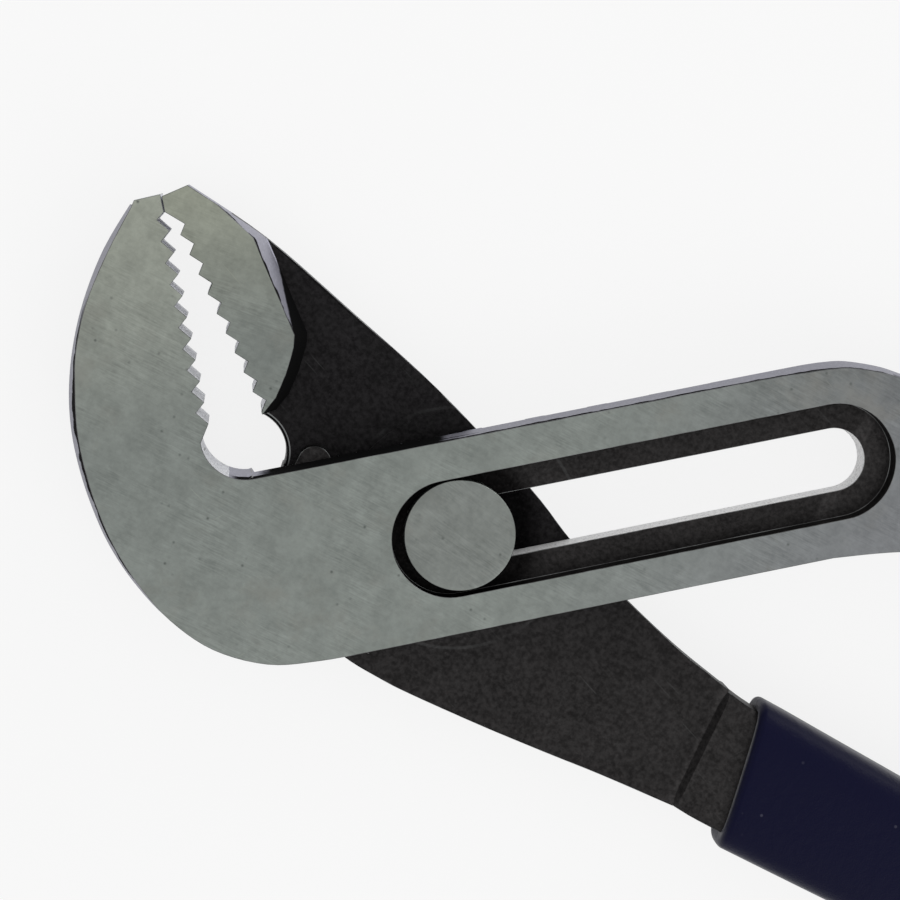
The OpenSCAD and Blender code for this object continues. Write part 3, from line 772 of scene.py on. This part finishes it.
class PLIERS_OT_rear_lever(bpy.types.Operator):
    """Dress the rear lever: toothed jaw, neck, tongue and handle steel"""

    bl_idname = "pliers.rear_lever"
    bl_label = "Rear lever"

    def execute(self, context):
        s = settings("pliers_forging")
        finishes = [
            ground_steel("Ground jaw", toned(s.ground, 0.92), s.jaw, s.far, math.radians(-4), 26 * MM),
            # A lighter copy of the flank colour where the jaw's side faces the light, with painted shade
            # where it turns down and away
            forged_flank(
                "Jaw flank",
                toned(s.flank, 1.2),
                s.dark_and_shade,
                (FACE_Z - 0.7 * MM, FACE_Z),
                blackened=((0.727, -0.688, -1.3), -35.2 * MM, -33.2 * MM),
            ),
            black_oxide("Black oxide", s.black, s.brown, s.worn_and_highlight),
            sawn_teeth(s.tooth),
            black_oxide("Tongue black", toned(s.brown, 1.5), toned(s.brown, 1.5), s.worn_and_highlight, 0.0),
            worn_edge_with_highlight("Rubbed black edge with rim highlight", s.worn_and_highlight, s.dark_and_shade, (NECK_Z - s.rim, NECK_Z - 0.09 * MM)),
        ]
        names = ("rear_forging", "rear_lever", "rear")
        rim = (s.rim, on_throat_rim)
        piece = forging(*names, finishes, rear_finish, s.edge, s.weld, False, rim)
        return {"FINISHED"}


# The pivot


def turned(profile, columns=128):
    """A surface of revolution about Z: each ring is a circle with a radius and a height from the profile,
    which runs from the lowest point to the highest."""
    angle = np.linspace(0, 2 * math.pi, columns, endpoint=False)
    r, z = np.asarray(profile, float).T
    return np.stack(
        [r[:, None] * np.cos(angle), r[:, None] * np.sin(angle), np.repeat(z[:, None], columns, 1)], -1
    )


def rounded(r, z, radius, start, end, steps=6):
    """Points of a rounded corner: an arc of the given radius about a centre, between two angles."""
    a = np.radians(np.linspace(start, end, steps))
    return np.stack([r + radius * np.cos(a), z + radius * np.sin(a)], -1)


def bolt_profile(edge, dimple):
    """Radius and height up the bolt: peened end, thread core, shank, underside and rounded flat head."""
    top = FACE_Z
    ledge = top - 2.7 * MM
    end_r = 3.5 * MM
    shank = 4.05 * MM
    peened = [(0.02 * MM, 0.35 * MM), (dimple * 0.7, 0.25 * MM), (dimple, 0.02 * MM)]
    chamfer = [(end_r - 0.4 * MM, 0.0), (end_r, 0.4 * MM)]
    body = [(end_r, NUT_H - 0.02 * MM), (shank, NUT_H + 0.02 * MM), (shank, ledge)]
    head = [(HEAD_R - 0.1 * MM, ledge), (HEAD_R, ledge + 0.1 * MM)]
    crown = rounded(HEAD_R - edge, top - edge, edge, 0, 90)
    flat = [(HEAD_R * inward, top) for inward in (0.9, 0.6, 0.3, 0.02)]
    return np.concatenate([peened, chamfer, body, head, crown, flat])


def nut_rings(flats, height, bore, columns=144):
    """Rings of a hexagon nut: the radius to a flat side over the cosine of the angle from its middle, cut
    by a 30 degree cone at the bottom. They run down the bore, round the foot, up the outside and back over
    the top to the bore."""
    angle = np.linspace(0, 2 * math.pi, columns, endpoint=False)
    from_flat = (angle - math.pi / 6) % (math.pi / 3) - math.pi / 6
    hexagon = flats / 2 / np.cos(from_flat)
    cone_r = flats / 2 - 0.1 * MM
    lift = np.maximum(hexagon - cone_r, 0) * math.tan(math.radians(30))
    rows = [
        (np.full(columns, bore), np.full(columns, height * 0.98)),
        (np.full(columns, bore), np.full(columns, 0.35 * MM)),
        (np.full(columns, bore + 0.35 * MM), np.zeros(columns)),
        (np.full(columns, cone_r), np.zeros(columns)),
        (hexagon - 0.06 * MM, np.maximum(lift - 0.03 * MM, 0)),
        (hexagon, lift + 0.06 * MM),
        (hexagon, np.full(columns, height - 0.06 * MM)),
        (hexagon - 0.06 * MM, np.full(columns, height)),
        (np.full(columns, bore), np.full(columns, height)),
    ]
    return np.stack([np.stack([r * np.cos(angle), r * np.sin(angle), z], -1) for r, z in rows])


class PLIERS_OT_pivot(bpy.types.Operator):
    """Make the pivot's flat-headed bolt and its nut"""

    bl_idname = "pliers.pivot"
    bl_label = "Pivot bolt and nut"

    def execute(self, context):
        s = settings("pliers_pivot")
        f = settings("pliers_forging")
        head = ground_steel("Ground head", s.head, s.head, s.head, math.radians(10))
        verts, faces = close_grid(turned(bolt_profile(s.edge, s.peen)))
        bolt = link_mesh("bolt", verts, faces, "pivot", head)
        bolt.data.set_sharp_from_angle(angle=math.radians(35))
        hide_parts("pivot_bolt")
        rings = nut_rings(2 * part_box("pivot_nut")[1].y, NUT_H, NUT_BORE_R)
        rows, columns, _ = rings.shape
        faces = grid_faces(rows + 1, columns) % (rows * columns)
        black = black_oxide("Black nut", s.nut, s.nut, f.worn_and_highlight)
        nut = link_mesh("nut", rings.reshape(-1, 3), faces, "pivot", black)
        nut.data.set_sharp_from_angle(angle=math.radians(35))
        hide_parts("pivot_nut")
        return {"FINISHED"}


# The grips


def sections(cad, stations):
    """Middle and half size of a solid's cross sections square to X, at each station along X: every edge
    that crosses a station gives a point, and the section is the box of those points."""
    mesh = frame["nodes"][cad].data
    points = np.empty(len(mesh.vertices) * 3)
    mesh.vertices.foreach_get("co", points)
    points = points.reshape(-1, 3)
    lines = np.empty(len(mesh.edges) * 2, int)
    mesh.edges.foreach_get("vertices", lines)
    a, b = points[lines.reshape(-1, 2).T]
    found = []
    for x in stations:
        cross = (a[:, 0] - x) * (b[:, 0] - x) <= 0
        p, q = a[cross], b[cross]
        step = np.where(np.abs(q[:, 0] - p[:, 0]) < 1e-9, 1.0, q[:, 0] - p[:, 0])
        at = p + (q - p) * np.clip((x - p[:, 0]) / step, 0, 1)[:, None]
        middle = (at.min(0) + at.max(0)) / 2
        half = (at.max(0) - at.min(0)) / 2
        found.append((x, middle[1], half[1], middle[2], half[2]))
    return np.array(found)


def smooth_rows(rows, passes):
    """Rows with each inner value drawn towards the mean of its neighbours, a number of times."""
    rows = rows.copy()
    for _ in range(passes):
        rows[1:-1, 1:] = (rows[:-2, 1:] + 2 * rows[1:-1, 1:] + rows[2:, 1:]) / 4
    return rows


def grip_rings(cad, lip, shell, lean, columns=96):
    """Rings of a dipped grip. Its section is a superellipse, |y|^k + |z|^k = 1, of the solid's own width
    and thickness. The profile runs along the inner wall from the blind end to the mouth, round a bead that
    grips the steel, along the outer wall, and shrinks as a quarter ellipse at the rounded end. Near the
    mouth every point moves back by lean times its distance across from the middle, less further in."""
    low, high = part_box(cad)
    mouth_half = 9.6 * MM
    mouth_x = low.x + lean * mouth_half
    # The sections between the solid's ends, carried on in a straight line to the mouth
    first_x = mouth_x + 3 * MM + lean * 10 * MM
    rows = smooth_rows(sections(cad, np.linspace(first_x, high.x - 9 * MM, 80)), 3)
    slope = (rows[2] - rows[0]) / (rows[2, 0] - rows[0, 0])
    rows = np.concatenate([(rows[0] + slope * (mouth_x - rows[0, 0]))[None], rows])
    # Nothing reaches past the solid's box
    for i, axis in ((1, 1), (3, 2)):
        top = np.minimum(rows[:, i] + rows[:, i + 1], high[axis])
        foot = np.maximum(rows[:, i] - rows[:, i + 1], low[axis])
        rows[:, i], rows[:, i + 1] = (top + foot) / 2, (top - foot) / 2
    angle = np.linspace(0, 2 * math.pi, columns, endpoint=False)
    k = 3.4
    cy = np.sign(np.cos(angle)) * np.abs(np.cos(angle)) ** (2 / k)
    cz = np.sign(np.sin(angle)) * np.abs(np.sin(angle)) ** (2 / k)

    def ring(x, inset, size):
        row = [np.interp(x, rows[:, 0], rows[:, i]) for i in range(1, 5)]
        across = cy * (row[1] - inset) * size
        near = lean * max(0.0, 1 - (x - mouth_x) / (25 * MM))
        return np.stack([x - near * across, row[0] + across, row[2] + cz * (row[3] - inset) * size], -1)

    blind = high.x - shell
    round_l = 7 * MM
    inner = [ring(x, shell, 1.0) for x in np.linspace(blind - round_l, mouth_x + lip, 24)]
    inner_end = [
        ring(blind - round_l * (1 - math.sin(a)), shell, math.cos(a))
        for a in np.radians(np.linspace(86, 10, 8))
    ]
    bead = shell + 0.9 * MM - lip
    mouth = [ring(mouth_x + 0.4 * MM, lip + bead, 1.0), ring(mouth_x + 0.1 * MM, lip + bead * 0.8, 1.0)] + [
        ring(mouth_x + lip - lip * math.sin(a), lip + lip * math.cos(a), 1.0)
        for a in np.radians(np.linspace(75, 170, 7))
    ]
    outer = [ring(x, 0.0, 1.0) for x in np.linspace(mouth_x + lip, high.x - round_l, 90)]
    end = [
        ring(high.x - round_l * (1 - math.sin(a)), 0.0, math.cos(a) ** 0.8)
        for a in np.radians(np.linspace(8, 88, 12))
    ]
    return np.stack(inner_end + inner + mouth + outer + end)


class PLIERS_OT_grips(bpy.types.Operator):
    """Make the two dipped grips"""

    bl_idname = "pliers.grips"
    bl_label = "Dipped grips"

    def execute(self, context):
        s = settings("pliers_grip")
        plastic = dipped_plastic("Dipped plastic", s.plastic)
        for name, cad, body, lean in (
            ("grip_front", "front_grip", "front", 0.0),
            ("grip_rear", "rear_grip", "rear", s.lean),
        ):
            verts, faces = close_grid(grip_rings(cad, s.lip, s.shell, lean))
            grip = link_mesh(name, verts, faces, body, plastic)
            shape = bmesh.new()
            shape.from_mesh(grip.data)
            bmesh.ops.recalc_face_normals(shape, faces=shape.faces)
            shape.to_mesh(grip.data)
            shape.free()
            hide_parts(cad)
        return {"FINISHED"}


# The stage


def place_camera(lens):
    """The camera of the photograph: above the jaws, looking almost straight down at the ground faces."""
    camera = bpy.data.objects.new("Camera", bpy.data.cameras.new("Camera"))
    bpy.context.scene.collection.objects.link(camera)
    bpy.context.scene.camera = camera
    look = Vector(CAMERA_LOOK).normalized()
    right = look.cross(Vector(CAMERA_UP)).normalized()
    up = right.cross(look)
    turn = Matrix((right, up, -look)).transposed()
    camera.matrix_world = Matrix.Translation(CAMERA_AT) @ turn.to_4x4()
    camera.data.lens = lens
    camera.data.sensor_width = 36.0
    camera.data.clip_start = 0.01
    camera.data.clip_end = 50.0


def soft_lamp(name, place, aim, size, watts):
    """A large square lamp, aimed at a point."""
    lamp = bpy.data.objects.new(name, bpy.data.lights.new(name, "AREA"))
    bpy.context.scene.collection.objects.link(lamp)
    lamp.data.energy = watts
    lamp.data.size = size
    direction = Vector(aim) - Vector(place)
    lamp.matrix_world = Matrix.Translation(place) @ direction.to_track_quat("-Z", "Y").to_matrix().to_4x4()


def seen_plainly(tree):
    """1 for what the camera sees, directly, in reflections or through glass, and 0 for other light."""
    seen = tree.nodes.new("ShaderNodeLightPath")
    either = maths(tree, "MAXIMUM", seen.outputs["Is Camera Ray"], seen.outputs["Is Glossy Ray"])
    return maths(tree, "MAXIMUM", either, seen.outputs["Is Transmission Ray"])


def paper_material(tint):
    """White paper: plain diffuse to the lamps, and brightened to the camera and in reflections, so that it
    reads as white and still keeps the shadow."""
    material, tree, shader = new_material("Paper", Roughness=0.9)
    shader.inputs["Base Color"].default_value = rgba(tint)
    glow = node(tree, "ShaderNodeEmission", Color=(1, 1, 1, 1), Strength=1.0)
    glow_share = 0.84
    blend = tree.nodes.new("ShaderNodeMixShader")
    tree.links.new(maths(tree, "MULTIPLY", seen_plainly(tree), glow_share), blend.inputs[0])
    tree.links.new(shader.outputs[0], blend.inputs[1])
    tree.links.new(glow.outputs[0], blend.inputs[2])
    tree.links.new(blend.outputs[0], tree.nodes["Material Output"].inputs["Surface"])
    return material


def light_world():
    """A world that lights softly, and that the camera and reflections see as white."""
    world = bpy.data.worlds.new("Studio")
    bpy.context.scene.world = world
    world.use_nodes = True
    tree = world.node_tree
    tree.nodes.clear()
    ambient = 0.55
    strength = maths(tree, "MULTIPLY_ADD", seen_plainly(tree), 1 - ambient, ambient)
    light = node(tree, "ShaderNodeBackground", Color=(1, 1, 1, 1))
    tree.links.new(strength, light.inputs["Strength"])
    out = tree.nodes.new("ShaderNodeOutputWorld")
    tree.links.new(light.outputs[0], out.inputs["Surface"])


class PLIERS_OT_stage(bpy.types.Operator):
    """Set the camera, the lamps, the world and the white floor"""

    bl_idname = "pliers.stage"
    bl_label = "Stage"

    def execute(self, context):
        s = settings("pliers_stage")
        bpy.context.scene.view_settings.view_transform = "Standard"
        place_camera(s.lens)
        soft_lamp("Key", (0.45, 1.1, 0.2), (0.03, 0.0, 0.0), 0.55, 5.0)
        soft_lamp("Fill", (0.7, -0.4, 0.8), (0.05, 0.0, 0.0), 0.8, 2.0)
        light_world()
        half = s.floor_size / 2
        corners = np.array([(-half, -half, 0), (half, -half, 0), (half, half, 0), (-half, half, 0)])
        mesh = bpy.data.meshes.new("Floor")
        mesh.from_pydata(corners.tolist(), [], [(0, 1, 2, 3)])
        floor = bpy.data.objects.new("Floor", mesh)
        bpy.context.scene.collection.objects.link(floor)
        mesh.materials.append(paper_material(s.paper))
        return {"FINISHED"}


class PLIERS_PT_panel(bpy.types.Panel):
    """The pliers' pieces, their sizes and their colours"""

    bl_idname = "PLIERS_PT_panel"
    bl_label = "Pliers"
    bl_space_type = "VIEW_3D"
    bl_region_type = "UI"
    bl_category = "Pliers"

    def draw(self, context):
        for group, _ in SETTINGS:
            box = self.layout.box()
            values = settings(group)
            for key in values.__class__.__annotations__:
                box.prop(values, key)
        for operator in OPERATORS:
            self.layout.operator(operator.bl_idname)


SETTINGS = [
    ("pliers_forging", ForgingSettings),
    ("pliers_pivot", PivotSettings),
    ("pliers_grip", GripSettings),
    ("pliers_stage", StageSettings),
]
OPERATORS = [
    PLIERS_OT_front_lever,
    PLIERS_OT_rear_lever,
    PLIERS_OT_pivot,
    PLIERS_OT_grips,
    PLIERS_OT_stage,
]


def register():
    """Register the classes and hang the settings on the scene."""
    for _, group in SETTINGS:
        bpy.utils.register_class(group)
    for operator in OPERATORS:
        bpy.utils.register_class(operator)
    bpy.utils.register_class(PLIERS_PT_panel)
    for name, group in SETTINGS:
        setattr(bpy.types.Scene, name, PointerProperty(type=group))


def unregister():
    """Take the settings off the scene and the classes out again."""
    for name, _ in SETTINGS:
        delattr(bpy.types.Scene, name)
    bpy.utils.unregister_class(PLIERS_PT_panel)
    for operator in reversed(OPERATORS):
        bpy.utils.unregister_class(operator)
    for _, group in reversed(SETTINGS):
        bpy.utils.unregister_class(group)


def main():
    register()
    for operator in OPERATORS:
        area, name = operator.bl_idname.split(".")
        getattr(getattr(bpy.ops, area), name)()


if __name__ == "__main__":
    main()
